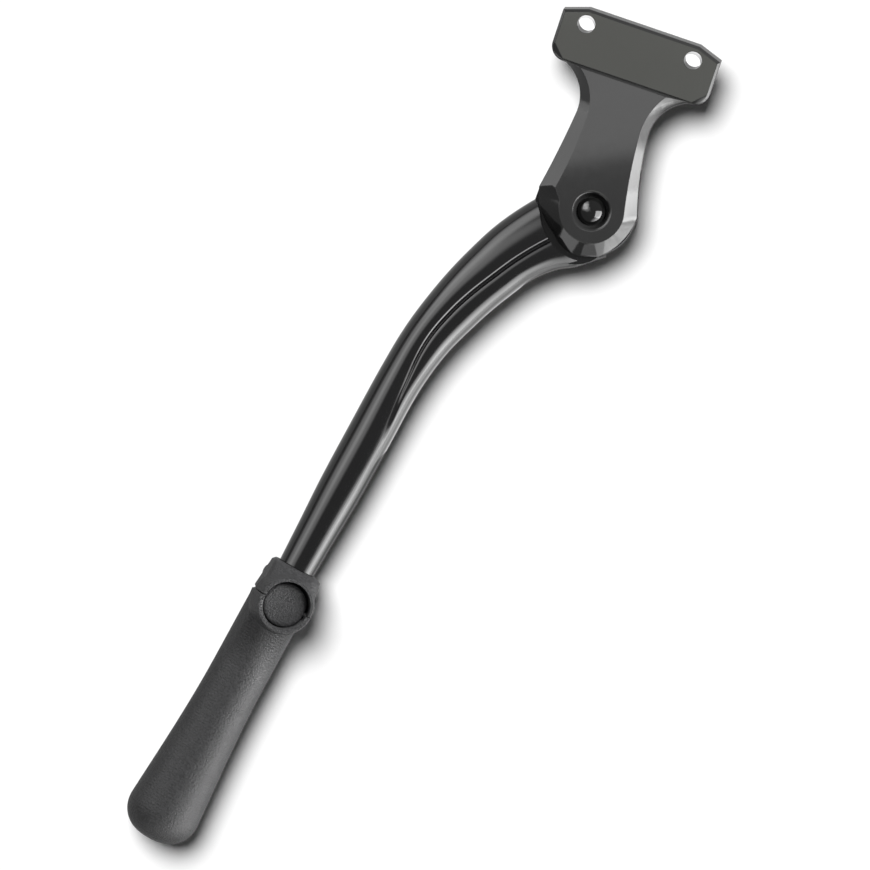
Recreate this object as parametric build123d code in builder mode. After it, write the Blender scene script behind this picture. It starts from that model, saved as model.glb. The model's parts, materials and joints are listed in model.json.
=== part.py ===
from build123d import *
from math import acos, asin, atan2, cos, degrees, radians, sin, sqrt
import os

# Bicycle kickstand in millimetres. The origin is the middle of the two bolt holes on the mounting
# face, X runs along the hole row, Z is up and the bicycle is on the +Y side of the plate.
os.makedirs("parts", exist_ok=True)

# Mounting plate
hole_spacing = 40.0
bolt_hole = 6.4
plate_thick = 7.5
plate_width = 59.0
plate_top = 5.3
plate_bottom = -15.3
plate_top_flat = 41.6
plate_top_slope = 3.0
plate_corner = 5.5
plate_edge = 0.9
back_relief = 0.4

# Head, seen square on the plane in which the leg folds
splay = 10.0
head_thick = 19.0
neck_proud = 3.5
crease_drop = 15.6
crease_lift = 0.7
pivot_side = 3.2
pivot_drop = 62.5
ear_radius = 16.4
face_radius = 11.7
neck_waist = 26.8
face_waist = 19.7
waist_drop = 31.0
bevel_depth = 4.0
rear_bevel = 2.0
stop_angle = 173.6
slot_open_angle = 60.0

# Pivot
pin_shank = 8.0
pin_head = 9.8
pin_dome = 2.9
pin_rim = 0.5
recess_mouth = 13.4
recess_depth = 2.6
rear_recess = 15.0
rear_recess_depth = 1.9
sleeve_od = 14.0
spigot_od = 11.0
spigot_flats = 9.4
spigot_length = 1.4
fit = 0.05
washer_thick = 0.5
washer_rim = 12.6
tongue_thick = 9.0
tongue_radius = 15.7
side_play = 0.1
tongue_gap = 0.6
shoulder_gap = 1.8
pivot_washer_od = 13.6
ring_od = 11.6
ring_thick = 0.8
ring_gap = 3.0
groove_depth = 0.5

# Detent
fold_angle = 105.0
plunger_od = 6.0
plunger_length = 10.0
plunger_travel = 1.2
nose_gap = 0.15
bore_angle = 225.5
bore_depth = 33.0
spring_wire = 0.8
spring_turns = 4.0

# Leg
leg_lean = 9.8
collar_side = -55.4
collar_drop = 217.0
straight_length = 85.0
rod_od = 13.4
rod_in_foot = 88.0
groove_width = 1.7
rod_chamfer = 1.2

# Foot
foot_turn = 15.0
foot_length = 110.0
foot_od = 20.8
sole_od = 26.6
flare_start = 42.0
sole_corner = 98.0
bore_clearance = 0.15
bore_length = 92.0
parting = 12.9
collar_top_od = 18.8
collar_lip = 1.6
shell_spigot_od = 17.0
parting_notch = 0.7
boss_radius = 9.9
boss_height = 15.0
boss_taper = 14.0
hood_corner = 5.5
hood_edge = 0.8

# Button
button_radius = 7.9
button_gap = 0.4
button_thick = 1.8
button_edge = 0.5
button_drop = 2.4
button_dish = 0.5
recess_floor = 8.2
rocker_pin = 2.0
rocker_height = 10.4
pin_grip = 0.8
lug_wall = 0.7
tooth_arm = 6.3
tooth_thick = 1.6
tooth_width = 4.8
notch_depth = 1.0
notch_pitch = 6.0
notch_count = 7
button_wire = 0.5
button_spring_od = 4.0
button_spring_arm = 5.0
button_spring_turns = 2.0
screw_od = 2.6
screw_head = 4.4
screw_height = 6.0
screw_spread = 50.0
screw_tip = 0.3
screw_seat = 9.3
screw_head_thick = 1.1

# Derived frames
tilt = radians(splay)
fold_normal = Vector(0, -cos(tilt), sin(tilt))
fold_up = Vector(0, sin(tilt), cos(tilt))
# The neck leans out, so its crease stands higher on the upright plate than on the fold plane
crease = Vector(0, -plate_thick - neck_proud, crease_lift - crease_drop)
hole_row = crease + fold_up * crease_drop - fold_normal * (head_thick / 2)
fold = Plane(
    origin=hole_row + Vector(1, 0, 0) * pivot_side - fold_up * pivot_drop, x_dir=(1, 0, 0), z_dir=fold_normal
)
slot_half = tongue_thick / 2 + washer_thick + side_play
ceiling_radius = tongue_radius + tongue_gap
shoulder_radius = ear_radius + shoulder_gap


def polar(angle, radius):
    """A point about the pivot on the fold plane."""
    return radius * cos(radians(angle)), radius * sin(radians(angle))


def from_row(side, drop):
    """A point on the fold plane given from the middle of the hole row."""
    return side - pivot_side, pivot_drop - drop


def ring(outer, inner, low, high, plane):
    """A flat ring about the pivot between two depths."""
    with BuildPart() as made:
        with BuildSketch(plane.offset(low)):
            Circle(outer)
            Circle(inner, mode=Mode.SUBTRACT)
        extrude(amount=high - low)
    return made.part


def save(part, name):
    """Name the solid and write its STEP file."""
    part.label = name
    export_step(part, f"parts/{name}.step")


def neck_outline(inset):
    """Neck and ears, from the outer edge at 0 to the flat front face at 1."""

    def between(outer, face):
        return outer[0] + (face[0] - outer[0]) * inset, outer[1] + (face[1] - outer[1]) * inset

    def ear(angle, extra, face_angle, face_extra=0.0):
        return between(polar(angle, ear_radius + extra), polar(face_angle, face_radius + face_extra))

    wide, slim = neck_waist / 2, face_waist / 2
    top_left = between(from_row(-24.5, crease_drop - 1.0), from_row(-17.2, crease_drop))
    flare_left = between(from_row(-wide - 4.1, 19.0), from_row(-slim - 3.2, 19.6))
    waist_left = between(from_row(-wide, waist_drop), from_row(-slim + 0.7, waist_drop))
    side_left = between(from_row(-wide - 1.6, 45.0), from_row(-slim, 45.0))
    stop = ear(stop_angle, 4.3, 165.7, 3.7)
    heel = ear(183.7, 3.1, 180.0, 0.2)
    low_left = ear(201.9, 1.1, 206.0, -0.3)
    notch = ear(230.3, -0.8, 224.3, -0.2)
    sweep_low = ear(251.7, 0.1, 253.6, -0.3)
    toe_left = ear(274.5, 0.15, 276.3)
    toe_right = ear(296.4, 0.0, 294.6, -0.1)
    sweep_right = ear(323.8, -1.1, 320.9, -0.1)
    corner = ear(11.3, -0.1, 7.4)
    side_right = between(from_row(wide + 1.6, 43.0), from_row(slim + 1.9, 43.0))
    waist_right = between(from_row(wide, waist_drop), from_row(slim + 0.8, waist_drop))
    flare_right = between(from_row(wide + 4.1, 19.0), from_row(slim + 3.1, 19.5))
    top_right = between(from_row(24.5, crease_drop - 1.0), from_row(15.2, crease_drop))
    with BuildLine() as lines:
        ThreePointArc(top_left, flare_left, waist_left)
        ThreePointArc(waist_left, side_left, stop)
        Line(stop, heel)
        ThreePointArc(heel, low_left, notch)
        ThreePointArc(notch, sweep_low, toe_left)
        Line(toe_left, toe_right)
        ThreePointArc(toe_right, sweep_right, corner)
        ThreePointArc(corner, side_right, waist_right)
        ThreePointArc(waist_right, flare_right, top_right)
        Line(top_right, top_left)
    return lines.line


# Mounting plate, bevelled round its front edge
half = plate_width / 2
with BuildPart() as plate:
    with BuildSketch(Plane.XZ):
        with BuildLine():
            Polyline(
                (-plate_top_flat / 2, plate_top),
                (plate_top_flat / 2, plate_top),
                (half, plate_top - plate_top_slope),
                (half, plate_bottom),
                (-half, plate_bottom),
                (-half, plate_top - plate_top_slope),
                close=True,
            )
        make_face()
        fillet(vertices().group_by(Axis.Y)[0], plate_corner)
    extrude(amount=plate_thick)
    chamfer(faces().sort_by(Axis.Y)[0].edges(), plate_edge)

# Mounting head
front = head_thick / 2
with BuildPart() as head:
    with BuildSketch(fold.offset(rear_bevel - front)):
        make_face(neck_outline(0.0).edges())
    extrude(amount=head_thick - rear_bevel - bevel_depth)
    with BuildSketch(fold.offset(front - bevel_depth)):
        make_face(neck_outline(0.0).edges())
    with BuildSketch(fold.offset(front)):
        make_face(neck_outline(1.0).edges())
    loft(ruled=True)
    with BuildSketch(fold.offset(-front)):
        make_face(neck_outline(0.35).edges())
    with BuildSketch(fold.offset(rear_bevel - front)):
        make_face(neck_outline(0.0).edges())
    loft(ruled=True)
    # The back lies a little in front of the mounting face
    with BuildSketch(Plane.XZ.offset(back_relief)):
        Rectangle(200, 300)
    extrude(amount=-60, mode=Mode.SUBTRACT)
    add(plate.part)
    with BuildSketch(Plane.XZ):
        with GridLocations(hole_spacing, 1, 2, 1):
            Circle(bolt_hole / 2)
    extrude(amount=plate_thick, mode=Mode.SUBTRACT)
    # Root that ties the plate into the neck, hidden behind the bevels
    with BuildSketch(Plane.XZ.offset(back_relief)):
        with BuildLine():
            Polyline(
                (-half + plate_corner + 2, plate_bottom + 3),
                (-neck_waist / 2 - 3.6, plate_bottom - 2.5),
                (-neck_waist / 2 + 0.6, plate_bottom - 11),
                (neck_waist / 2 - 0.6, plate_bottom - 11),
                (neck_waist / 2 + 3.6, plate_bottom - 2.5),
                (half - plate_corner - 2, plate_bottom + 3),
                close=True,
            )
        make_face()
    extrude(amount=plate_thick - 2 - back_relief)
    # Slot for the tongue, open from the stop face round the bottom
    with BuildSketch(fold.offset(-slot_half)):
        with BuildLine():
            Polyline(
                polar(stop_angle, ceiling_radius),
                polar(stop_angle, 45),
                (-45, -45),
                (45, -45),
                (45, 10),
                polar(slot_open_angle, 45),
                polar(slot_open_angle, ceiling_radius),
            )
            ThreePointArc(
                polar(slot_open_angle, ceiling_radius),
                polar((stop_angle + slot_open_angle) / 2, ceiling_radius),
                polar(stop_angle, ceiling_radius),
            )
        make_face()
    extrude(amount=2 * slot_half, mode=Mode.SUBTRACT)
    with BuildSketch(fold.offset(-head_thick)):
        Circle(pin_shank / 2 + fit)
    extrude(amount=2 * head_thick, mode=Mode.SUBTRACT)
    # Countersunk recess for the dome, and the rear recess for the ring
    with BuildSketch(fold.offset(front - recess_depth)):
        Circle(pin_head / 2 + 0.4)
    with BuildSketch(fold.offset(front)):
        Circle(recess_mouth / 2)
    loft(mode=Mode.SUBTRACT)
    with BuildSketch(fold.offset(rear_recess_depth - front)):
        Circle(rear_recess / 2)
    extrude(amount=-head_thick, mode=Mode.SUBTRACT)
    # Keyed seat for the cam sleeve
    with BuildSketch(fold.offset(-slot_half)):
        Circle(spigot_od / 2 + fit)
        Rectangle(spigot_od + 1, spigot_flats + 2 * fit, mode=Mode.INTERSECT)
    extrude(amount=-spigot_length - side_play, mode=Mode.SUBTRACT)
save(head.part, "mounting_head")

# Pivot pin with its dome
pin_seat = front - recess_depth
pin_end = -front + 0.2
dome_top = pin_seat + pin_dome
dome_radius = ((pin_head / 2) ** 2 + (pin_dome - pin_rim) ** 2) / (2 * (pin_dome - pin_rim))
dome_turn = asin(pin_head / 2 / dome_radius)
ring_seat = rear_recess_depth - front - washer_thick
with BuildPart() as pin:
    with BuildSketch(fold.offset(pin_end)):
        Circle(pin_shank / 2)
    extrude(amount=pin_seat - pin_end)
    with BuildSketch(Plane(origin=fold.origin, x_dir=fold.x_dir, z_dir=-fold.y_dir)):
        with BuildLine():
            Polyline((0, dome_top), (0, pin_seat), (pin_head / 2, pin_seat), (pin_head / 2, pin_seat + pin_rim))
            ThreePointArc(
                (pin_head / 2, pin_seat + pin_rim),
                (dome_radius * sin(dome_turn / 2), dome_top - dome_radius * (1 - cos(dome_turn / 2))),
                (0, dome_top),
            )
        make_face()
    revolve(axis=Axis(fold.origin, fold.z_dir))
    with BuildSketch(fold.offset(ring_seat)):
        Circle(pin_shank)
        Circle(pin_shank / 2 - groove_depth, mode=Mode.SUBTRACT)
    extrude(amount=-ring_thick, mode=Mode.SUBTRACT)
save(pin.part, "pivot_pin")

# Washer and open retaining ring at the rear ear
save(ring(pivot_washer_od / 2, pin_shank / 2 + fit, ring_seat, rear_recess_depth - front, fold), "pivot_washer")
with BuildPart() as clip:
    with BuildSketch(fold.offset(ring_seat)):
        Circle(ring_od / 2)
        Circle(pin_shank / 2 - groove_depth + fit, mode=Mode.SUBTRACT)
        with Locations((0, -ring_od / 2)):
            Rectangle(ring_gap, ring_od, mode=Mode.SUBTRACT)
    extrude(amount=-(ring_thick - fit))
save(clip.part, "retaining_ring")

# Cam sleeve with a flat for each of the leg's two positions
flat_radius = sleeve_od / 2 - plunger_travel
with BuildPart() as sleeve:
    with BuildSketch(fold.offset(-slot_half)):
        Circle(sleeve_od / 2)
    extrude(amount=2 * slot_half)
    with BuildSketch(fold.offset(-slot_half)):
        Circle(spigot_od / 2)
        Rectangle(spigot_od + 1, spigot_flats, mode=Mode.INTERSECT)
    extrude(amount=-spigot_length)
    for angle in (bore_angle, bore_angle + fold_angle):
        with BuildSketch(fold.offset(-plunger_od / 2 - 0.3)):
            with Locations(Location((*polar(angle, flat_radius + 5), 0), angle)):
                Rectangle(10, sleeve_od + 4)
        extrude(amount=plunger_od + 0.6, mode=Mode.SUBTRACT)
    with BuildSketch(fold.offset(-head_thick)):
        Circle(pin_shank / 2 + fit)
    extrude(amount=2 * head_thick, mode=Mode.SUBTRACT)
save(sleeve.part, "cam_sleeve")

for side, name in ((1, "thrust_washer_front"), (-1, "thrust_washer_rear")):
    low = side * (tongue_thick / 2 + washer_thick / 2 + side_play / 2) - washer_thick / 2
    save(ring(washer_rim, sleeve_od / 2 + fit, low, low + washer_thick, fold), name)

# The leg's middle line: a straight rod that runs tangent into an arc through the pivot
lean = radians(leg_lean)
rod_down = (-sin(lean), -cos(lean))
rod_side = (cos(lean), -sin(lean))
collar_point = from_row(collar_side, collar_drop)
bend = collar_point[0] - rod_down[0] * straight_length, collar_point[1] - rod_down[1] * straight_length
arc_radius = -(bend[0] ** 2 + bend[1] ** 2) / (2 * (bend[0] * rod_side[0] + bend[1] * rod_side[1]))
arc_middle = bend[0] + rod_side[0] * arc_radius, bend[1] + rod_side[1] * arc_radius
arc_sweep = 180.0 - leg_lean - degrees(atan2(-arc_middle[1], -arc_middle[0]))


def to_world(point):
    """A fold-plane point in the part's own frame."""
    return fold.from_local_coords(Vector(point[0], point[1], 0))


def leg_plane(rise):
    """A plane across the leg, a way up from the collar: x to the outer edge, y to the front."""
    turn = max(0.0, rise - straight_length) / arc_radius
    angle = radians(180.0 - leg_lean) - turn
    out = Vector(cos(angle), sin(angle), 0)
    if turn > 0:
        place = arc_middle[0] + arc_radius * cos(angle), arc_middle[1] + arc_radius * sin(angle)
    else:
        place = collar_point[0] - rod_down[0] * rise, collar_point[1] - rod_down[1] * rise
    out_world = fold.x_dir * out.X + fold.y_dir * out.Y
    return Plane(origin=to_world(place), x_dir=out_world, z_dir=out_world.cross(fold_normal))


def strand_section(outer, inner, groove, main_height, keel_height, depth, main_end, keel_end):
    """Main strand, narrow groove and keel strand, the same on the front and the rear."""
    near, far = groove + groove_width / 2, groove - groove_width / 2
    main_turn, keel_turn = radians(main_end), radians(keel_end)
    main_size = (outer - near) / (1 - cos(main_turn))
    keel_size = (far + inner) / (1 - cos(keel_turn))

    def main(part):
        angle = main_turn * part
        return outer - main_size * (1 - cos(angle)), main_height * sin(angle)

    def keel(part):
        angle = keel_turn * part
        return keel_size * (1 - cos(angle)) - inner, keel_height * sin(angle)

    floor = groove, (main(1)[1] + keel(1)[1]) / 2 - depth
    slope_main = -main_size * sin(main_turn), main_height * cos(main_turn)
    slope_keel = -keel_size * sin(keel_turn), -keel_height * cos(keel_turn)

    def flip(point):
        return point[0], -point[1]

    with BuildLine() as lines:
        Spline(main(0), main(0.3), main(0.65), main(1), tangents=[(0, 1), slope_main])
        Line(main(1), floor)
        Line(floor, keel(1))
        Spline(keel(1), keel(0.65), keel(0.3), keel(0), tangents=[slope_keel, (0, -1)])
        Spline(keel(0), flip(keel(0.3)), flip(keel(0.65)), flip(keel(1)),
               tangents=[(0, -1), (-slope_keel[0], slope_keel[1])])
        Line(flip(keel(1)), flip(floor))
        Line(flip(floor), flip(main(1)))
        Spline(flip(main(1)), flip(main(0.65)), flip(main(0.3)), main(0),
               tangents=[(-slope_main[0], slope_main[1]), (0, 1)])
    return lines.line


def round_section(radius, groove):
    """The same section where the leg is plain round."""
    near, far = groove + groove_width / 2, groove - groove_width / 2
    chord = (sqrt(radius**2 - near**2) + sqrt(radius**2 - far**2)) / 2
    depth = chord - sqrt(radius**2 - groove**2)
    return strand_section(
        radius, radius, groove, radius, radius, depth, degrees(acos(near / radius)), degrees(acos(-far / radius))
    )


arc_length = radians(arc_sweep) * arc_radius
leg_top = straight_length + arc_length
sections = [
    (leg_top, strand_section(12.4, 14.6, -4.2, 9.0, 7.6, 1.5, 104, 102)),
    (straight_length + arc_length * 0.755, strand_section(11.2, 14.6, -4.2, 9.0, 7.6, 1.5, 104, 102)),
    (straight_length + arc_length * 0.486, strand_section(8.9, 13.0, -4.1, 8.8, 7.5, 1.5, 106, 102)),
    (straight_length + arc_length * 0.276, strand_section(7.8, 12.0, -2.8, 8.5, 7.4, 1.4, 106, 101)),
    (straight_length + arc_length * 0.094, strand_section(7.75, 10.1, -2.0, 8.2, 7.4, 1.2, 106, 98)),
    (straight_length - 10, strand_section(8.1, 8.2, -3.0, 8.1, 7.7, 0.8, 112, 80)),
    (straight_length - 31, round_section(8.05, -5.0)),
    (33.0, round_section(7.9, -5.0)),
    (14.0, round_section(7.2, -4.6)),
    (0.0, round_section(rod_od / 2 + 0.05, -4.3)),
]
bore_way = Plane(
    origin=fold.origin,
    x_dir=fold_normal,
    z_dir=fold.x_dir * cos(radians(bore_angle)) + fold.y_dir * sin(radians(bore_angle)),
)


def foot_plane(drop):
    """A plane across the foot, a way down from the collar's top: x to the right, y to the front."""
    down = fold.x_dir * rod_down[0] + fold.y_dir * rod_down[1]
    side = fold.x_dir * rod_side[0] + fold.y_dir * rod_side[1]
    turn = radians(foot_turn)
    return Plane(
        origin=to_world(collar_point) + down * drop,
        x_dir=side * cos(turn) - fold_normal * sin(turn),
        z_dir=down,
    )


across = foot_plane(parting)
# Looking on the button: x to the right, y up the leg, z out of the leg
button_front = Plane(origin=across.origin, x_dir=across.x_dir, z_dir=across.y_dir)

# Leg
with BuildPart() as leg:
    for rise, outline in sections:
        with BuildSketch(leg_plane(rise)):
            make_face(outline.edges())
    loft()
    # Room for the ears on both sides of the tongue
    for start, way in ((tongue_thick / 2, 1), (-tongue_thick / 2, -1)):
        with BuildSketch(fold.offset(start)):
            Circle(shoulder_radius)
            with BuildLine():
                Polyline(
                    (0, 0),
                    polar(stop_angle + 27.5, shoulder_radius),
                    polar(stop_angle + 13, shoulder_radius + 1.9),
                    polar(stop_angle + 13, 45),
                    polar(90, 45),
                    close=True,
                )
            make_face()
        extrude(amount=way * 20, mode=Mode.SUBTRACT)
    # Nothing of the tongue goes past the stop face
    with BuildSketch(fold.offset(-20)):
        with BuildLine():
            Polyline((0, 0), polar(stop_angle + 0.6, 45), polar(120, 60), polar(60, 45), close=True)
        make_face()
    extrude(amount=40, mode=Mode.SUBTRACT)
    with BuildSketch(fold.offset(-tongue_thick / 2)):
        Circle(tongue_radius)
        with BuildLine():
            Polyline(
                (0, 0),
                polar(stop_angle + 0.6, ear_radius + 4.1),
                polar(stop_angle + 13, shoulder_radius + 2.4),
                polar(stop_angle + 27.5, shoulder_radius + 1),
                close=True,
            )
        make_face()
        with BuildLine():
            Line((-4, -15), (-2, -20.4))
            ThreePointArc((-2, -20.4), polar(280, 19.0), polar(302, tongue_radius))
            Line(polar(302, tongue_radius), (-4, -15))
        make_face()
    extrude(amount=tongue_thick)
    # Round rod inside the foot, with its index notches
    with BuildSketch(foot_plane(-0.5)):
        Circle(rod_od / 2)
    extrude(amount=rod_in_foot + 0.5)
    chamfer(faces().sort_by(lambda f: fold.to_local_coords(f.center()).Y)[0].edges(), rod_chamfer)
    notch_floor = rod_od / 2 - notch_depth
    notch_low = tooth_arm - tooth_thick / 2 - 0.1
    notch_tall = tooth_thick + 1.1
    with BuildSketch(button_front.offset(notch_floor)):
        for index in range(notch_count):
            with Locations((0, notch_low + notch_tall / 2 - notch_pitch * index)):
                Rectangle(rod_od + 2, notch_tall)
    extrude(amount=notch_depth + 1, mode=Mode.SUBTRACT)
    with BuildSketch(fold.offset(-tongue_thick)):
        Circle(sleeve_od / 2 + fit)
    extrude(amount=2 * tongue_thick, mode=Mode.SUBTRACT)
    # Detent bore, drilled from the tongue's far rim
    with BuildSketch(bore_way.offset(-tongue_radius - 4)):
        Circle(plunger_od / 2 + fit)
    extrude(amount=tongue_radius + 4 + bore_depth, mode=Mode.SUBTRACT)
save(leg.part, "leg")

# Detent plunger, drawn pressed in, and its spring
nose = sleeve_od / 2 + nose_gap
with BuildPart() as plunger:
    with BuildSketch(bore_way.offset(nose)):
        Circle(plunger_od / 2)
    extrude(amount=plunger_length)
    chamfer(edges().filter_by(GeomType.CIRCLE).sort_by_distance(fold.origin)[0], 0.6)
save(plunger.part, "detent_plunger")


def spring(start, length, outside, wire, turns, base):
    """A closed helical wire that stands between two seats on a plane."""
    height = length - wire
    with BuildPart() as made:
        seat = base.offset(start + wire / 2)
        with BuildLine() as path:
            Helix(height / turns, height, (outside - wire) / 2, center=seat.origin, direction=seat.z_dir)
        with BuildSketch(Plane(origin=path.line @ 0, z_dir=path.line % 0)):
            RegularPolygon(wire / 2, 4)
        sweep(is_frenet=True)
    return made.part


spring_start = nose + plunger_length
save(spring(spring_start, bore_depth - spring_start, plunger_od - 0.4, spring_wire, spring_turns, bore_way),
     "detent_spring")

# Foot shell
bore = rod_od / 2 + bore_clearance
recess = button_radius + button_gap
profile = Plane(origin=foot_plane(0).origin, x_dir=foot_plane(0).x_dir, z_dir=-foot_plane(0).y_dir)
window_low = tooth_arm - tooth_thick / 2 - 0.4
window_high = tooth_arm + tooth_thick / 2 + 1.2
rocker_way = Plane(
    origin=button_front.origin + button_front.z_dir * rocker_height,
    x_dir=button_front.y_dir,
    z_dir=button_front.x_dir,
)

# Room for the button, its pin and its tooth, cut alike from collar and shell
with BuildPart() as button_room:
    with BuildSketch(button_front.offset(recess_floor)):
        Circle(recess)
    extrude(amount=20)
    with BuildSketch(rocker_way.offset(-recess - pin_grip - fit)):
        Circle(rocker_pin / 2 + fit)
    extrude(amount=2 * (recess + pin_grip + fit))
    with BuildSketch(button_front):
        with Locations((0, (window_low + window_high) / 2)):
            Rectangle(tooth_width + 0.8, window_high - window_low)
    extrude(amount=boss_height)


def screw_plane(turn):
    """Looks out of the foot's rear side, where a collar screw goes in."""
    across_foot = foot_plane(screw_height)
    way = across_foot.x_dir * sin(radians(turn)) - across_foot.y_dir * cos(radians(turn))
    return Plane(origin=across_foot.origin, x_dir=across_foot.z_dir, z_dir=way)


def screw_pair(slack):
    """Both collar screws, or with slack the room for them."""
    with BuildPart() as made:
        for turn in (-screw_spread, screw_spread):
            with BuildSketch(screw_plane(turn).offset(bore + screw_tip - slack)):
                Circle(screw_od / 2 + slack)
            extrude(amount=screw_seat - bore - screw_tip + 2 * slack)
            with BuildSketch(screw_plane(turn).offset(screw_seat)):
                Circle(screw_head / 2 + 4 * slack)
            extrude(amount=screw_head_thick + 20 * slack)
    return made


# Lower half of the button's rim, which widens into the shell
with BuildPart() as boss:
    with BuildSketch(button_front.offset(boss_height)):
        Circle(boss_radius)
    extrude(amount=recess_floor - 2 - boss_height, taper=-boss_taper)
    with BuildSketch(button_front):
        with Locations((0, 2 * boss_radius)):
            Rectangle(8 * boss_radius, 4 * boss_radius)
    extrude(amount=2 * boss_height, mode=Mode.SUBTRACT)

screw_room = screw_pair(fit)
with BuildPart() as shell:
    with BuildSketch(profile):
        with BuildLine():
            Polyline(
                (0, foot_length),
                (0, collar_lip),
                (shell_spigot_od / 2, collar_lip),
                (shell_spigot_od / 2, parting),
                (foot_od / 2 - parting_notch, parting),
                (foot_od / 2, parting + parting_notch),
                (foot_od / 2, flare_start),
            )
            Spline((foot_od / 2, flare_start), (12.0, 80), (sole_od / 2, sole_corner), tangents=[(0, 1), (0.07, 1)])
            Spline((sole_od / 2, sole_corner), (9.6, 107.2), (0, foot_length), tangents=[(0.07, 1), (-1, 0)])
        make_face()
    revolve(axis=Axis(profile.origin, profile.y_dir))
    add(boss.part)
    with BuildSketch(foot_plane(-1)):
        Circle(bore)
    extrude(amount=bore_length + 1, mode=Mode.SUBTRACT)
    add(button_room.part, mode=Mode.SUBTRACT)
    # Pocket under the button's spring
    with BuildSketch(button_front.offset(recess_floor - 0.7)):
        with Locations((0, -button_spring_arm)):
            Circle(button_spring_od / 2 + 0.3)
    extrude(amount=2, mode=Mode.SUBTRACT)
    add(screw_room.part, mode=Mode.SUBTRACT)
save(shell.part, "foot_shell")


def hood(half, reach):
    """Round at the back and square at the front, where the collar frames the button."""
    with BuildLine() as lines:
        ThreePointArc((half, 0), (0, -half), (-half, 0))
        Line((-half, 0), (-half, reach - hood_corner))
        RadiusArc((-half, reach - hood_corner), (hood_corner - half, reach), hood_corner)
        Line((hood_corner - half, reach), (half - hood_corner, reach))
        RadiusArc((half - hood_corner, reach), (half, reach - hood_corner), hood_corner)
        Line((half, reach - hood_corner), (half, 0))
    return lines.line


with BuildPart() as collar:
    with BuildSketch(foot_plane(0)):
        make_face(hood(collar_top_od / 2 - 1, collar_top_od / 2 - 1).edges())
    with BuildSketch(foot_plane(1)):
        make_face(hood(collar_top_od / 2, collar_top_od / 2).edges())
    loft(ruled=True)
    with BuildSketch(foot_plane(1)):
        make_face(hood(collar_top_od / 2, collar_top_od / 2).edges())
    with BuildSketch(foot_plane(parting - hood_edge)):
        make_face(hood(foot_od / 2, boss_height).edges())
    loft(ruled=True)
    with BuildSketch(foot_plane(parting - hood_edge)):
        make_face(hood(foot_od / 2, boss_height).edges())
    with BuildSketch(foot_plane(parting)):
        make_face(hood(foot_od / 2 - hood_edge, boss_height - hood_edge).edges())
    loft(ruled=True)
    with BuildSketch(foot_plane(-1)):
        Circle(bore)
    extrude(amount=parting + 2, mode=Mode.SUBTRACT)
    with BuildSketch(foot_plane(collar_lip)):
        Circle(shell_spigot_od / 2 + fit)
    extrude(amount=parting, mode=Mode.SUBTRACT)
    add(button_room.part, mode=Mode.SUBTRACT)
    add(screw_room.part, mode=Mode.SUBTRACT)
save(collar.part, "foot_collar")

with BuildPart() as screws:
    add(screw_pair(0.0).part)
    for turn in (-screw_spread, screw_spread):
        with BuildSketch(screw_plane(turn).offset(screw_seat + screw_head_thick - 0.5)):
            RegularPolygon(screw_head / 4, 6)
        extrude(amount=1, mode=Mode.SUBTRACT)
save(screws.part, "collar_screws")

# Rocking release button with its tooth
with BuildPart() as button:
    with BuildSketch(button_front.offset(boss_height - button_drop - button_thick)):
        Circle(button_radius)
    extrude(amount=button_thick)
    under = boss_height - button_drop - button_thick
    top_face = faces().sort_by(lambda f: f.center().dot(button_front.z_dir))[-1]
    chamfer(top_face.edges(), button_edge)
    dish_radius = (button_radius**2 + button_dish**2) / (2 * button_dish)
    with Locations(button_front.offset(boss_height - button_drop - button_dish + dish_radius).origin):
        Sphere(dish_radius, mode=Mode.SUBTRACT)
    with BuildSketch(button_front.offset(rocker_height - rocker_pin / 2 - lug_wall)):
        with Locations((-5.6, 0), (5.6, 0)):
            Rectangle(2.6, rocker_pin + 2 * lug_wall)
    extrude(amount=under - rocker_height + rocker_pin / 2 + lug_wall)
    with BuildSketch(button_front.offset(notch_floor + 0.1)):
        with Locations((0, tooth_arm)):
            Rectangle(tooth_width, tooth_thick)
    extrude(amount=under - notch_floor - 0.1)
    with BuildSketch(rocker_way.offset(-button_radius - 2)):
        Circle(rocker_pin / 2 + fit)
    extrude(amount=2 * button_radius + 4, mode=Mode.SUBTRACT)
save(button.part, "release_button")

with BuildPart() as cross_pin:
    with BuildSketch(rocker_way.offset(-recess - pin_grip)):
        Circle(rocker_pin / 2)
    extrude(amount=2 * (recess + pin_grip))
save(cross_pin.part, "button_pin")

spring_base = Plane(
    origin=button_front.origin - button_front.y_dir * button_spring_arm,
    x_dir=button_front.x_dir,
    z_dir=button_front.z_dir,
)
save(spring(recess_floor - 0.7, under - recess_floor + 0.7, button_spring_od, button_wire,
            button_spring_turns, spring_base), "button_spring")
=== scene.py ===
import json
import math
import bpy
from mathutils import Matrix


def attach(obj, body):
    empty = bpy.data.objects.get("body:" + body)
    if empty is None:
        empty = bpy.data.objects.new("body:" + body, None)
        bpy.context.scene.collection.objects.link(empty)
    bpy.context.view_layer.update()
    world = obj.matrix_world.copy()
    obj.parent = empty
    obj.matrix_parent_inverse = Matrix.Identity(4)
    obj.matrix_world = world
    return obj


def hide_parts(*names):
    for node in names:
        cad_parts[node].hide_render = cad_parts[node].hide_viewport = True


bl_info = {
    "name": "Bicycle Kickstand",
    "version": (1, 0, 0),
    "blender": (4, 5, 0),
    "location": "View3D > Sidebar > Kickstand",
    "description": "Skins, finishes, stage and camera for a folding bicycle kickstand",
    "category": "Object",
}

import bmesh
import bpy
from bpy.props import FloatProperty, FloatVectorProperty, IntProperty, PointerProperty
from mathutils import Matrix, Vector

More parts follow.
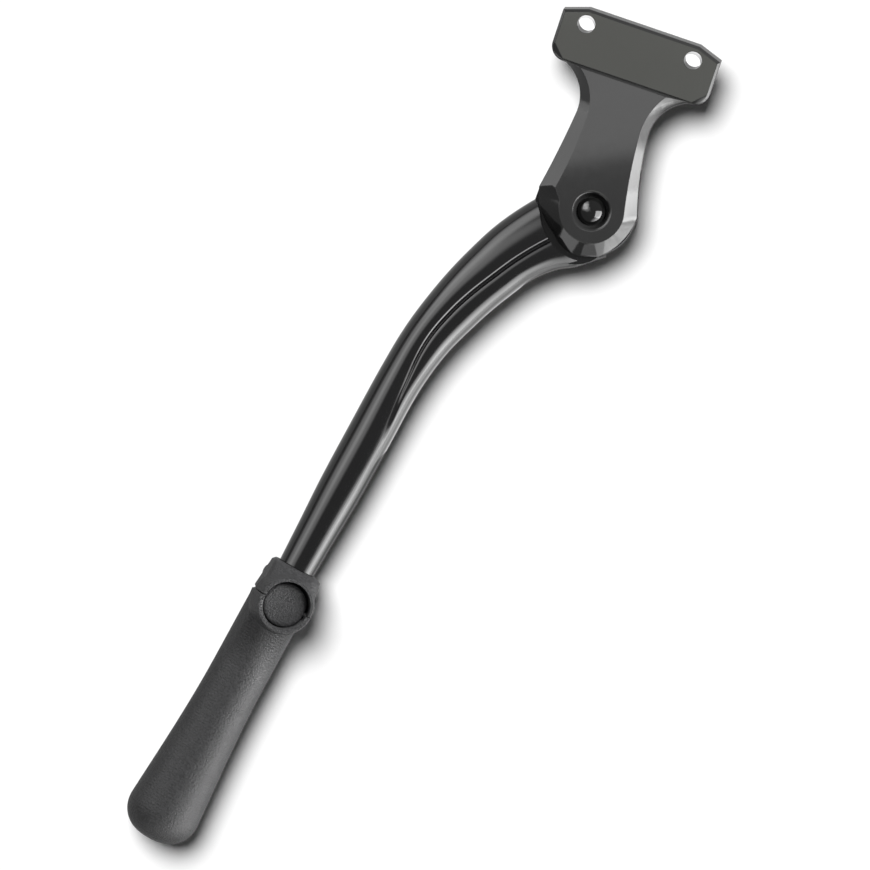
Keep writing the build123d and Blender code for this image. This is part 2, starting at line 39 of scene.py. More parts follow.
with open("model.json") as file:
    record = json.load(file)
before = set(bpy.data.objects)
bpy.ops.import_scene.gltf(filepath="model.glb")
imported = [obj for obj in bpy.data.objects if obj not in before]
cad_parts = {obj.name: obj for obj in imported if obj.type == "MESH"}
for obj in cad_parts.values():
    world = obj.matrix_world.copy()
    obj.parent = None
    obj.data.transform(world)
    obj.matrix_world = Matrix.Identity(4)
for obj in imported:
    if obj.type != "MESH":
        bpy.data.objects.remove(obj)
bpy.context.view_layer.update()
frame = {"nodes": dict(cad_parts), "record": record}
JOINTS = {joint["name"]: joint for joint in frame["record"]["behaviour"]["joints"]}
BODY_OF = {node: body for body, nodes in frame["record"]["behaviour"]["bodies"].items() for node in nodes}

# The plane in which the leg folds, seen square on
PIVOT = Vector(JOINTS["leg_fold"]["pos_m"])
TO_VIEWER = Vector(JOINTS["leg_fold"]["axis"]).normalized()
ALONG = Vector((1.0, 0.0, 0.0))
UPWARD = TO_VIEWER.cross(ALONG)
LEG_DOWN = Vector(JOINTS["foot_slide"]["axis"]).normalized()
BUTTON_PIVOT = Vector(JOINTS["button_press"]["pos_m"])
BUTTON_ACROSS = Vector(JOINTS["button_press"]["axis"]).normalized()
BUTTON_OUT = BUTTON_ACROSS.cross(-LEG_DOWN).normalized()

MM = 0.001
MERGE = 0.002 * MM
# Creases that stay sharp, in degrees
CREASE, HEAD_CREASE, LEG_CREASE = 32.0, 14.0, 34.0
# Front face of the head from the fold plane, and the mouth of the recess round the pin's dome
HEAD_FRONT, MOUTH_RADIUS, MOUTH_ROUND = 9.5 * MM, 6.7 * MM, 0.6 * MM
BORE_WAY = -Vector(JOINTS["plunger_slide"]["axis"]).normalized()
ROCKER_HEIGHT = 10.4 * MM
PARTING = 12.9 * MM
COLLAR_TOP = BUTTON_PIVOT - BUTTON_OUT * ROCKER_HEIGHT - LEG_DOWN * PARTING

# The fold plane: x along the bolt holes and y up the neck, both from the pivot, z to the viewer
FOLD = Matrix.Translation(PIVOT) @ Matrix((ALONG, UPWARD, TO_VIEWER)).transposed().to_4x4()
# The button's plane on the rod: x across the foot, y up the leg, z out of the leg
BUTTON_FRONT = (
    Matrix.Translation(COLLAR_TOP + LEG_DOWN * PARTING)
    @ Matrix((BUTTON_ACROSS, -LEG_DOWN, BUTTON_OUT)).transposed().to_4x4()
)

# Points along each strand of a leg section, and rings along the leg
MAIN_STEPS = 14
KEEL_STEPS = 10
LEG_RINGS = 130
# Places of the groove's lips and floor in a section, on the front and the rear
RING_POINTS = 2 * (MAIN_STEPS + KEEL_STEPS + 2)
FRONT_LIPS = (MAIN_STEPS, MAIN_STEPS + 1, MAIN_STEPS + 2)
LIPS = [*FRONT_LIPS, *[RING_POINTS - index for index in FRONT_LIPS]]
# Round sections of the rod in millimetres: way up from the collar's top, or from the bend if negative,
# then radius and place of the groove to come
ROD_SECTIONS = ((0.0, 6.75, -4.3), (14.0, 7.2, -4.6), (33.0, 7.9, -5.0), (-31.0, 8.05, -5.0))
# Two-strand sections in millimetres and degrees: outer and inner reach, place of the groove, heights of the
# main strand and the keel, depth of the groove, and the turns at which the two strands end at it.
# The first one stands below the bend, the others at their share of it
BEND_START = 10.0 * MM
START_SECTION = (8.1, 8.2, -3.0, 8.1, 7.7, 0.8, 112, 80)
BEND_SECTIONS = (
    (0.094, (7.75, 10.1, -2.0, 8.2, 7.4, 1.2, 106, 98)),
    (0.276, (7.8, 12.0, -2.8, 8.5, 7.4, 1.4, 106, 101)),
    (0.486, (8.9, 13.0, -4.1, 8.8, 7.5, 1.5, 106, 102)),
    (0.62, (10.2, 13.1, -4.2, 8.9, 7.5, 1.6, 105, 102)),
    (0.755, (11.2, 14.5, -4.2, 9.0, 7.6, 1.6, 104, 102)),
    (0.85, (11.8, 16.6, -4.2, 9.0, 7.6, 1.6, 104, 102)),
    (1.0, (12.4, 17.0, -4.2, 9.0, 7.6, 1.6, 104, 102)),
)
# Outlines of the leg's upper end about the pivot in degrees, from the stop face or plain, and millimetres
EAR_ROOM_FROM_STOP = ((206.9, 2), (26.9, 18.2), (12.4, 20.1), (12.4, 45))
EAR_ROOM_TOP = (90, 45)
STOP_ROOM_FROM_STOP = ((180, 3), (0, 45))
STOP_ROOM_TOP = ((120, 60), (60, 45))
SHOULDER_INSIDE = (40, 1)
SHOULDER_FROM_STOP = ((0, 20.5), (12.4, 20.6), (26.9, 19.2))
TOE_INSIDE = (255, 15.2)
# Cutters reach past the piece, and small steps keep the joined blocks' flanks out of one plane
CUT_REACH, FLANK_STEP = 20.0 * MM, 0.02 * MM
ROD_OVERLAP, NOTCH_CUT, BORE_PAST_RIM = 0.5 * MM, 2.0 * MM, 4.0 * MM
# The button's opening starts this far above the rim's base
OPENING_FLOOR = 0.13 * MM

# Middle of the picture, and the camera's sensor in millimetres
MIDDLE = PIVOT - 0.0272 * ALONG - 0.0935 * UPWARD
SENSOR = 36.0
# The sheet's half width, whiteness and share in reflections, and the sun that lights it alone
SHEET_SIZE, SHEET_WHITE, SHEET_MIRRORED = 3.0, 0.9, 0.3
SUN_WAY, SUN_SPREAD = (-0.17, 0.32, 0.932), math.radians(30.0)
# A pin spot on the sheet behind each bolt hole: distance, cone and size
BOLT_HOLES = (Vector((-0.02, -0.002, 0.0)), Vector((0.02, -0.002, 0.0)))
SPOT_DISTANCE, SPOT_CONE, SPOT_SIZE = 0.5, math.radians(1.0), 0.0005
# Soft lamps for matt faces: way seen from the camera, size and distance
KEY_LAMP = ((-0.62, 0.45, 0.64), 0.8, 0.9)
SIDE_LAMP = ((0.73, 0.37, 0.57), 0.3, 0.7)
REAR_LAMP = ((0.1, 0.25, -0.96), 0.6, 0.9)
# The panel that the neck's upper half mirrors: way, width, height, distance, rise, tilt, place on the neck
NECK_WAY, NECK_WIDTH, NECK_HEIGHT = (-0.114, -0.017, 0.993), 0.08, 0.05
NECK_DISTANCE, NECK_RISE, NECK_TILT, NECK_PLACE = 0.2, 0.025, math.radians(9.0), 0.026
# The panel on the sheet beside the leg's keel: way of its top, width, height, place from the middle, lift
KEEL_TOP, KEEL_WIDTH, KEEL_HEIGHT = (0.646, 0.763, 0.0), 0.06, 0.075
KEEL_RIGHT, KEEL_ABOVE, KEEL_LIFT = 0.030, 0.0036, 0.001
# Soft light that only reflections show: way seen from the camera, full and fading half angle, strength
SOFTBOXES = (
    ((-0.524, 0.267, 0.809), 3.0, 24.0, 2.0),
    ((-0.739, 0.376, 0.559), 3.0, 24.0, 2.0),
    ((-0.562, 0.72, 0.407), 4.0, 22.0, 2.8),
    ((0.877, -0.479, 0.035), 8.0, 36.0, 4.4),
    ((0.80, -0.60, 0.03), 2.0, 14.0, 4.0),
    ((0.55, -0.75, 0.37), 6.0, 22.0, 2.6),
    ((0.41, -0.89, 0.17), 10.0, 36.0, 3.4),
)
# Panels a metre away that some pieces alone mirror: way seen from the camera, size, brightness, tint
WHITE = (1.0, 1.0, 1.0)
HEAD_PANELS = (
    ((-0.22, -0.34, 0.915), 0.40, 1.05, (0.98, 1.0, 0.89)),
    ((-0.91, 0.38, 0.12), 0.55, 1.6, WHITE),
    ((-0.68, -0.72, 0.10), 0.50, 1.4, WHITE),
    ((0.975, -0.16, 0.02), 0.50, 7.2, WHITE),
    ((0.5, -0.87, 0.0), 0.30, 2.4, WHITE),
)
PIN_PANELS = (
    ((0.68, -0.36, 0.64), 0.80, 6.0, WHITE),
    ((-0.62, 0.50, 0.60), 0.65, 2.2, WHITE),
)
FOOT_PANELS = (
    ((0.90, -0.42, 0.07), 0.60, 6.0, WHITE),
    ((-0.30, -0.92, 0.24), 0.80, 1.8, WHITE),
)
# Where those panels face: on the neck above the pivot, and down the foot from the button
HEAD_AIM, FOOT_AIM = PIVOT + UPWARD * 0.035, BUTTON_PIVOT + LEG_DOWN * 0.04


class KickstandFinishes(bpy.types.PropertyGroup):
    """Colours and surface sizes of the kickstand's finishes."""

    head_colour: FloatVectorProperty(
        name="Head Lacquer", description="Dark lacquer on the casting",
        subtype="COLOR", default=(0.018, 0.018, 0.018),
    )
    leg_colour: FloatVectorProperty(
        name="Leg Lacquer", description="Gloss black on the leg",
        subtype="COLOR", default=(0.004, 0.004, 0.0042),
    )
    pin_colour: FloatVectorProperty(
        name="Pin Black", description="Polished black of the pin head",
        subtype="COLOR", default=(0.004, 0.004, 0.004),
    )
    foot_colour: FloatVectorProperty(
        name="Foot Plastic", description="Matt moulded plastic",
        subtype="COLOR", default=(0.036, 0.036, 0.037),
    )
    steel_colour: FloatVectorProperty(
        name="Steel", description="Ground steel of the hidden hardware",
        subtype="COLOR", default=(0.52, 0.52, 0.53),
    )
    washer_colour: FloatVectorProperty(
        name="Bearing Plastic", description="Natural bearing plastic",
        subtype="COLOR", default=(0.62, 0.6, 0.52),
    )
    edge_round: FloatProperty(
        name="Edge Round", description="Softened edge of the castings",
        subtype="DISTANCE", default=0.00035, min=0.0,
    )
    line_pitch: FloatProperty(
        name="Mould Line Pitch", description="Spacing of the fine lines on the foot", subtype="DISTANCE",
        default=0.0011, min=0.0002
    )


class KickstandLeg(bpy.types.PropertyGroup):
    """Sizes of the forged leg."""

    straight_length: FloatProperty(
        name="Straight Length", description="Rod from the collar's top to the bend",
        subtype="DISTANCE", default=85.0 * MM,
    )
    groove_width: FloatProperty(
        name="Groove Width", description="Groove between the two strands",
        subtype="DISTANCE", default=1.7 * MM,
    )
    lip_round: FloatProperty(
        name="Lip Round", description="Rounding of the groove's lips and floor",
        subtype="DISTANCE", default=0.55 * MM,
    )
    rod_radius: FloatProperty(
        name="Rod Radius", description="Round end of the leg inside the foot",
        subtype="DISTANCE", default=6.7 * MM,
    )
    rod_in_foot: FloatProperty(
        name="Rod in Foot", description="Length of the rod below the collar's top",
        subtype="DISTANCE", default=88.0 * MM,
    )
    rod_chamfer: FloatProperty(
        name="Rod Chamfer", description="Chamfer at the rod's end",
        subtype="DISTANCE", default=1.2 * MM,
    )
    tongue_thick: FloatProperty(
        name="Tongue Thickness", description="Flat tongue between the ears",
        subtype="DISTANCE", default=9.0 * MM,
    )
    tongue_radius: FloatProperty(
        name="Tongue Radius", description="Round of the tongue about the pivot",
        subtype="DISTANCE", default=15.7 * MM,
    )
    shoulder_radius: FloatProperty(
        name="Shoulder Radius", description="Room for the ears above the shoulder",
        subtype="DISTANCE", default=18.2 * MM,
    )
    stop_angle: FloatProperty(
        name="Stop Angle", description="Stop face about the pivot",
        subtype="ANGLE", default=math.radians(174.2),
    )
    sleeve_bore: FloatProperty(
        name="Sleeve Bore", description="Radius of the bore for the cam sleeve",
        subtype="DISTANCE", default=7.05 * MM,
    )
    plunger_bore: FloatProperty(
        name="Plunger Bore", description="Radius of the detent's bore",
        subtype="DISTANCE", default=3.05 * MM,
    )
    plunger_depth: FloatProperty(
        name="Plunger Depth", description="End of the detent's bore from the pivot",
        subtype="DISTANCE", default=33.0 * MM,
    )
    notch_floor: FloatProperty(
        name="Notch Floor", description="Floor of the index notches from the rod's axis",
        subtype="DISTANCE", default=5.7 * MM,
    )
    notch_height: FloatProperty(
        name="Notch Height", description="Opening of one index notch",
        subtype="DISTANCE", default=2.7 * MM,
    )
    notch_first: FloatProperty(
        name="First Notch", description="Middle of the top notch above the button's pin",
        subtype="DISTANCE", default=6.75 * MM,
    )
    notch_pitch: FloatProperty(
        name="Notch Pitch", description="Spacing of the index notches",
        subtype="DISTANCE", default=6.0 * MM,
    )
    notch_count: IntProperty(name="Notches", description="Number of index notches", default=7, min=1)


class KickstandRim(bpy.types.PropertyGroup):
    """Sizes of the round rim over the release button."""

    rim_radius: FloatProperty(
        name="Rim Radius", description="Outside of the rim at its top",
        subtype="DISTANCE", default=9.9 * MM,
    )
    rim_opening: FloatProperty(
        name="Rim Opening", description="Radius of the button's recess",
        subtype="DISTANCE", default=8.55 * MM,
    )
    rim_shift: FloatProperty(
        name="Rim Shift", description="Shift of the opening to the right and up",
        subtype="DISTANCE", default=0.3 * MM,
    )
    rim_height: FloatProperty(
        name="Rim Height", description="Top of the rim from the rod's axis",
        subtype="DISTANCE", default=14.95 * MM,
    )
    rim_base: FloatProperty(
        name="Rim Base", description="Start of the rim inside the collar",
        subtype="DISTANCE", default=8.05 * MM,
    )
    rim_taper: FloatProperty(
        name="Rim Taper", description="Draft of the rim's outside",
        subtype="ANGLE", default=math.radians(14.0),
    )
    rim_gap: FloatProperty(
        name="Rim Gap", description="Gap to the shell's half of the rim",
        subtype="DISTANCE", default=0.35 * MM,
    )


class KickstandStage(bpy.types.PropertyGroup):
    """Camera and light of the studio."""

    distance: FloatProperty(
        name="Camera Distance", description="From the lens to the middle",
        subtype="DISTANCE", default=3.0, min=0.3,
    )
    view_width: FloatProperty(
        name="View Width", description="Width seen at the middle",
        subtype="DISTANCE", default=0.3102, min=0.05,
    )
    azimuth: FloatProperty(
        name="Azimuth", description="Turn of the camera to the right",
        subtype="ANGLE", default=math.radians(3.0),
    )
    elevation: FloatProperty(
        name="Elevation", description="Height of the camera",
        subtype="ANGLE", default=math.radians(11.5),
    )
    roll: FloatProperty(
        name="Roll", description="Turn of the picture", subtype="ANGLE", default=math.radians(18.94)
    )
    key_power: FloatProperty(
        name="Key Power", description="Soft light at the upper left",
        subtype="POWER", default=4.0, min=0.0,
    )
    side_power: FloatProperty(
        name="Side Power", description="Panel at the right", subtype="POWER", default=10.5, min=0.0
    )
    rear_power: FloatProperty(
        name="Rear Power", description="Lamp behind the sheet, for views of the rear",
        subtype="POWER", default=9.0, min=0.0,
    )
    floor_level: FloatProperty(
        name="Floor Light", description="Sun for the white sheet alone", default=3.8, min=0.0
    )
    hole_power: FloatProperty(
        name="Hole Light", description="Pin spot on the sheet behind each bolt hole",
        subtype="POWER", default=11.0, min=0.0,
    )
    keel_level: FloatProperty(
        name="Keel Panel", description="Brightness of the panel that the keel mirrors", default=0.9, min=0.0
    )
    neck_level: FloatProperty(
        name="Neck Panel", description="Brightness of the panel that the neck mirrors", default=1.25, min=0.0
    )
    room_level: FloatProperty(
        name="Room Level", description="Light from all round on matt faces", default=0.05, min=0.0
    )
    mirror_level: FloatProperty(
        name="Mirror Level", description="Light from all round in reflections", default=0.27, min=0.0
    )
    sheet_depth: FloatProperty(
        name="Sheet Depth", description="White sheet behind the pivot",
        subtype="DISTANCE", default=0.0145, min=0.0,
    )


def finish_settings():
    """The colours and sizes that the operators read."""
    return bpy.context.scene.kickstand_finishes


def leg_settings():
    """The sizes that the leg's operator reads."""
    return bpy.context.scene.kickstand_leg


def rim_settings():
    """The sizes that the rim of the foot's collar reads."""
    return bpy.context.scene.kickstand_rim


def stage_settings():
    """The camera and light that the stage operator reads."""
    return bpy.context.scene.kickstand_stage


class Tree:
    """A short way to add and join nodes of one node tree."""

    def __init__(self, tree):
        self.tree = tree
        self.tree.nodes.clear()

    def add(self, kind, **values):
        node = self.tree.nodes.new(kind)
        for name, value in values.items():
            setattr(node, name, value)
        return node

    def join(self, source, target):
        self.tree.links.new(source, target)

    def put(self, node, **inputs):
        """Sets sockets by name, with underscores for spaces, from values or other sockets."""
        for name, value in inputs.items():
            socket = node.inputs[name.replace("_", " ")]
            if isinstance(value, bpy.types.NodeSocket):
                self.join(value, socket)
            else:
                socket.default_value = value
        return node

    def math(self, operation, first, second=0.0):
        node = self.add("ShaderNodeMath", operation=operation)
        for index, value in enumerate((first, second)):
            if isinstance(value, bpy.types.NodeSocket):
                self.join(value, node.inputs[index])
            else:
                node.inputs[index].default_value = value
        return node.outputs[0]

    def noise(self, coords, scale, detail=3.0):
        node = self.add("ShaderNodeTexNoise")
        self.put(node, Vector=coords, Scale=scale, Detail=detail)
        return node.outputs["Fac"]

    def span(self, value, low, high, new_low, new_high):
        node = self.add("ShaderNodeMapRange")
        self.put(node, Value=value, From_Min=low, From_Max=high, To_Min=new_low, To_Max=new_high)
        return node.outputs["Result"]


def surface(name):
    """A new material with its tree, shader and Object coordinates."""
    material = bpy.data.materials.new(name)
    material.use_nodes = True
    tree = Tree(material.node_tree)
    out = tree.add("ShaderNodeOutputMaterial")
    shader = tree.add("ShaderNodeBsdfPrincipled")
    tree.join(shader.outputs[0], out.inputs[0])
    coords = tree.add("ShaderNodeTexCoord").outputs["Object"]
    return material, tree, shader, coords


def varied_colour(tree, shader, colour, factor, low, high):
    """The base colour, lighter and darker along a pattern."""
    mix = tree.add("ShaderNodeMix", data_type="RGBA")
    mix.inputs[6].default_value = (*[channel * low for channel in colour], 1.0)
    mix.inputs[7].default_value = (*[channel * high for channel in colour], 1.0)
    tree.join(factor, mix.inputs[0])
    tree.join(mix.outputs[2], shader.inputs["Base Color"])


def lacquer(name, colour, roughness, peel, edge, coat=0.6):
    """Gloss lacquer over metal, with a faint orange peel and softened edges."""
    material, tree, shader, coords = surface(name)
    cloud = tree.noise(coords, scale=90.0)
    varied_colour(tree, shader, colour, cloud, low=0.85, high=1.15)
    haze = tree.noise(coords, scale=400.0)
    haze = tree.span(haze, low=0.3, high=0.7, new_low=roughness * 0.85, new_high=roughness * 1.15)
    tree.join(haze, shader.inputs["Roughness"])
    tree.put(shader, IOR=1.5 if coat else 1.62, Coat_Weight=coat, Coat_Roughness=roughness * 0.5)
    rounded = tree.add("ShaderNodeBevel", samples=6)
    rounded.inputs["Radius"].default_value = edge
    bump = tree.add("ShaderNodeBump")
    ripple = tree.noise(coords, scale=1500.0)
    tree.put(bump, Strength=peel, Distance=0.0001, Height=ripple, Normal=rounded.outputs[0])
    tree.join(bump.outputs[0], shader.inputs["Normal"])
    tree.join(rounded.outputs[0], shader.inputs["Coat Normal"])
    return material


def moulded(name, colour, pitch, edge):
    """Matt moulded plastic with fine lines across the foot and a light grain."""
    material, tree, shader, coords = surface(name)
    along = tree.add("ShaderNodeVectorMath", operation="DOT_PRODUCT")
    tree.join(coords, along.inputs[0])
    along.inputs[1].default_value = LEG_DOWN
    drift = tree.math("MULTIPLY", tree.noise(coords, scale=30.0), pitch * 3.0)
    phase = tree.math("MULTIPLY", tree.math("ADD", along.outputs["Value"], drift), 2.0 * math.pi / pitch)
    line = tree.math("SINE", phase)
    grain = tree.noise(coords, scale=1500.0, detail=4.0)
    grain = tree.span(grain, low=0.36, high=0.64, new_low=0.0, new_high=1.0)
    cloud = tree.noise(coords, scale=45.0)
    tone = tree.math("ADD", tree.math("MULTIPLY", line, 0.03), tree.math("MULTIPLY", grain, 0.7))
    tone = tree.math("ADD", tone, tree.math("MULTIPLY", cloud, 0.3))
    varied_colour(tree, shader, colour, tone, low=0.6, high=1.4)
    sheen = tree.span(grain, low=0.0, high=1.0, new_low=0.40, new_high=0.54)
    tree.join(sheen, shader.inputs["Roughness"])
    tree.put(shader, IOR=1.5)
    rounded = tree.add("ShaderNodeBevel", samples=6)
    rounded.inputs["Radius"].default_value = edge
    height = tree.math("ADD", tree.math("MULTIPLY", line, 0.07), tree.math("MULTIPLY", grain, 0.5))
    bump = tree.add("ShaderNodeBump")
    tree.put(bump, Strength=0.9, Distance=0.00025, Height=height, Normal=rounded.outputs[0])
    tree.join(bump.outputs[0], shader.inputs["Normal"])
    return material


def ground_steel(name, colour, roughness, scale):
    """Bare ground steel with fine scratches."""
    material, tree, shader, coords = surface(name)
    stretch = tree.add("ShaderNodeMapping")
    tree.put(stretch, Vector=coords, Scale=(scale, scale * 0.08, scale))
    scratch = tree.noise(stretch.outputs[0], scale=6.0, detail=4.0)
    varied_colour(tree, shader, colour, scratch, low=0.8, high=1.15)
    dull = tree.span(scratch, low=0.3, high=0.7, new_low=roughness * 0.8, new_high=roughness * 1.3)
    tree.join(dull, shader.inputs["Roughness"])
    tree.put(shader, Metallic=1.0)
    bump = tree.add("ShaderNodeBump")
    tree.put(bump, Strength=0.15, Distance=0.0001, Height=scratch)
    tree.join(bump.outputs[0], shader.inputs["Normal"])
    return material


def bearing_plastic(name, colour):
    """Natural bearing plastic, slightly cloudy."""
    material, tree, shader, coords = surface(name)
    cloud = tree.noise(coords, scale=220.0)
    varied_colour(tree, shader, colour, cloud, low=0.9, high=1.08)
    dull = tree.span(cloud, low=0.3, high=0.7, new_low=0.38, new_high=0.5)
    tree.join(dull, shader.inputs["Roughness"])
    bump = tree.add("ShaderNodeBump")
    tree.put(bump, Strength=0.2, Distance=0.0001, Height=tree.noise(coords, scale=1800.0))
    tree.join(bump.outputs[0], shader.inputs["Normal"])
    return material


def carry(piece, node, material):
    """Lets a piece stand for a CAD node, with that node's body."""
    piece.data.materials.clear()
    piece.data.materials.append(material)
    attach(piece, BODY_OF[node])
    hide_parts(node)


def round_off(mesh, crease):
    """Merges doubles, smooths the rounds and keeps the creases sharp."""
    form = bmesh.new()
    form.from_mesh(mesh)
    bmesh.ops.remove_doubles(form, verts=form.verts, dist=MERGE)
    for face in form.faces:
        face.smooth = True
    form.to_mesh(mesh)
    form.free()
    mesh.set_sharp_from_angle(angle=math.radians(crease))


def copy_of(node, crease=CREASE):
    """A merged copy of a CAD node's mesh with smooth rounds and sharp creases."""
    mesh = frame["nodes"][node].data.copy()
    round_off(mesh, crease)
    piece = bpy.data.objects.new(f"{node}_skin", mesh)
    bpy.context.collection.objects.link(piece)
    return piece


def skin(node, material):
    """Shows a CAD node through a smooth copy of its mesh."""
    carry(copy_of(node), node, material)


def polar(angle, radius):
    """A point of the fold plane about the pivot, from degrees and millimetres."""
    return radius * MM * math.cos(math.radians(angle)), radius * MM * math.sin(math.radians(angle))


def prism(points, low, high):
    """A closed block with its outline on the fold plane."""
    form = bmesh.new()
    face = form.faces.new([form.verts.new((x, y, low)) for x, y in points])
    raised = bmesh.ops.extrude_face_region(form, geom=[face])["geom"]
    top = [item for item in raised if isinstance(item, bmesh.types.BMVert)]
    bmesh.ops.translate(form, verts=top, vec=(0.0, 0.0, high - low))
    form.transform(FOLD)
    bmesh.ops.recalc_face_normals(form, faces=form.faces)
    return form


def drum(radius, start, end, way, segments=72):
    """A closed cylinder between two points along a way."""
    form = bmesh.new()
    length = (end - start).length
    turn = way.to_track_quat("Z", "Y").to_matrix().to_4x4()
    place = Matrix.Translation((start + end) / 2) @ turn
    bmesh.ops.create_cone(
        form, cap_ends=True, segments=segments, radius1=radius, radius2=radius, depth=length, matrix=place
    )
    return form


def carve(piece, tool, operation):
    """Joins or cuts one closed shape and keeps the result as a plain mesh."""
    mesh = bpy.data.meshes.new("tool")
    tool.to_mesh(mesh)
    tool.free()
    cutter = bpy.data.objects.new("tool", mesh)
    bpy.context.collection.objects.link(cutter)
    modifier = piece.modifiers.new("carve", "BOOLEAN")
    modifier.object = cutter
    modifier.operation = operation
    modifier.solver = "EXACT"
    shaped = bpy.data.meshes.new_from_object(piece.evaluated_get(bpy.context.evaluated_depsgraph_get()))
    piece.modifiers.clear()
    blank = piece.data
    piece.data = shaped
    bpy.data.objects.remove(cutter)
    bpy.data.meshes.remove(mesh)
    bpy.data.meshes.remove(blank)


def strand_section(outer, inner, groove, main_height, keel_height, depth, main_end, keel_end):
    """Points round the leg: main strand, groove and keel strand on the front, then the same on the rear."""
    half = leg_settings().groove_width / MM / 2
    main_turn, keel_turn = math.radians(main_end), math.radians(keel_end)
    main_size = (outer - groove - half) / (1.0 - math.cos(main_turn))
    keel_size = (groove - half + inner) / (1.0 - math.cos(keel_turn))
    main = []
    for step in range(MAIN_STEPS + 1):
        angle = main_turn * step / MAIN_STEPS
        main.append(Vector((outer - main_size * (1.0 - math.cos(angle)), main_height * math.sin(angle))))
    keel = []
    for step in range(KEEL_STEPS + 1):
        angle = keel_turn * step / KEEL_STEPS
        keel.append(Vector((keel_size * (1.0 - math.cos(angle)) - inner, keel_height * math.sin(angle))))
    floor = Vector((groove, (main[-1].y + keel[-1].y) / 2.0 - depth))
    front = [*main, floor, *reversed(keel)]
    rear = [Vector((point.x, -point.y)) for point in reversed(front[1:-1])]
    return front + rear


def round_section(radius, groove):
    """The same points where the leg is plain round."""
    half = leg_settings().groove_width / MM / 2
    near, far = groove + half, groove - half
    chord = (math.sqrt(radius**2 - near**2) + math.sqrt(radius**2 - far**2)) / 2.0
    depth = chord - math.sqrt(radius**2 - groove**2)
    main_end, keel_end = math.degrees(math.acos(near / radius)), math.degrees(math.acos(-far / radius))
    return strand_section(radius, radius, groove, radius, radius, depth, main_end, keel_end)


def between(places, values, at):
    """A smooth value between stations, by a cubic through their places."""
    last = len(places) - 1
    low = max(index for index in range(last) if places[index] <= at)

    def slope(index):
        before, after = max(0, index - 1), min(last, index + 1)
        return (values[after] - values[before]) / (places[after] - places[before])

    span = places[low + 1] - places[low]
    s = (at - places[low]) / span
    start = values[low] * (2 * s**3 - 3 * s**2 + 1) + slope(low) * span * (s**3 - 2 * s**2 + s)
    end = values[low + 1] * (3 * s**2 - 2 * s**3) + slope(low + 1) * span * (s**3 - s**2)
    return start + end


def paint(node, material):
    """Gives a CAD node its finish."""
    mesh = frame["nodes"][node].data
    mesh.materials.clear()
    mesh.materials.append(material)


class KICKSTAND_OT_head(bpy.types.Operator):
    """Casting with the bolting plate, neck and ears"""

    bl_idname = "kickstand.head"
    bl_label = "Mounting Head"

    def execute(self, context):
        values = finish_settings()
        head = copy_of("mounting_head", HEAD_CREASE)
        self.round_mouth(head.data)
        finish = lacquer(
            "head_lacquer", values.head_colour, roughness=0.1, peel=0.02, edge=values.edge_round, coat=0.0
        )
        carry(head, "mounting_head", finish)
        return {"FINISHED"}

    def round_mouth(self, mesh):
        """Rounds the mouth of the recess round the pin's dome."""
        form = bmesh.new()
        form.from_mesh(mesh)
        to_fold = FOLD.inverted()
        near = 0.02 * MM
        mouth = []
        for edge in form.edges:
            ends = [to_fold @ vert.co for vert in edge.verts]
            if all(end.z > 0.0 and abs(end.xy.length - MOUTH_RADIUS) < near for end in ends):
                mouth.append(edge)
        bmesh.ops.bevel(
            form, geom=mouth, offset=MOUTH_ROUND, segments=6, profile=0.5, affect="EDGES", material=-1
        )
        form.to_mesh(mesh)
        form.free()
        # The rounding is smooth and doesn't bend the shading of the flat face round it
        low, wide, flat = HEAD_FRONT - 1.2 * MOUTH_ROUND, 1.2 * MOUTH_RADIUS, HEAD_FRONT - 0.005 * MM
        for edge in mesh.edges:
            ends = [to_fold @ mesh.vertices[index].co for index in edge.vertices]
            if all(end.z > low and end.xy.length < wide for end in ends):
                edge.use_edge_sharp = all(end.z > flat for end in ends)


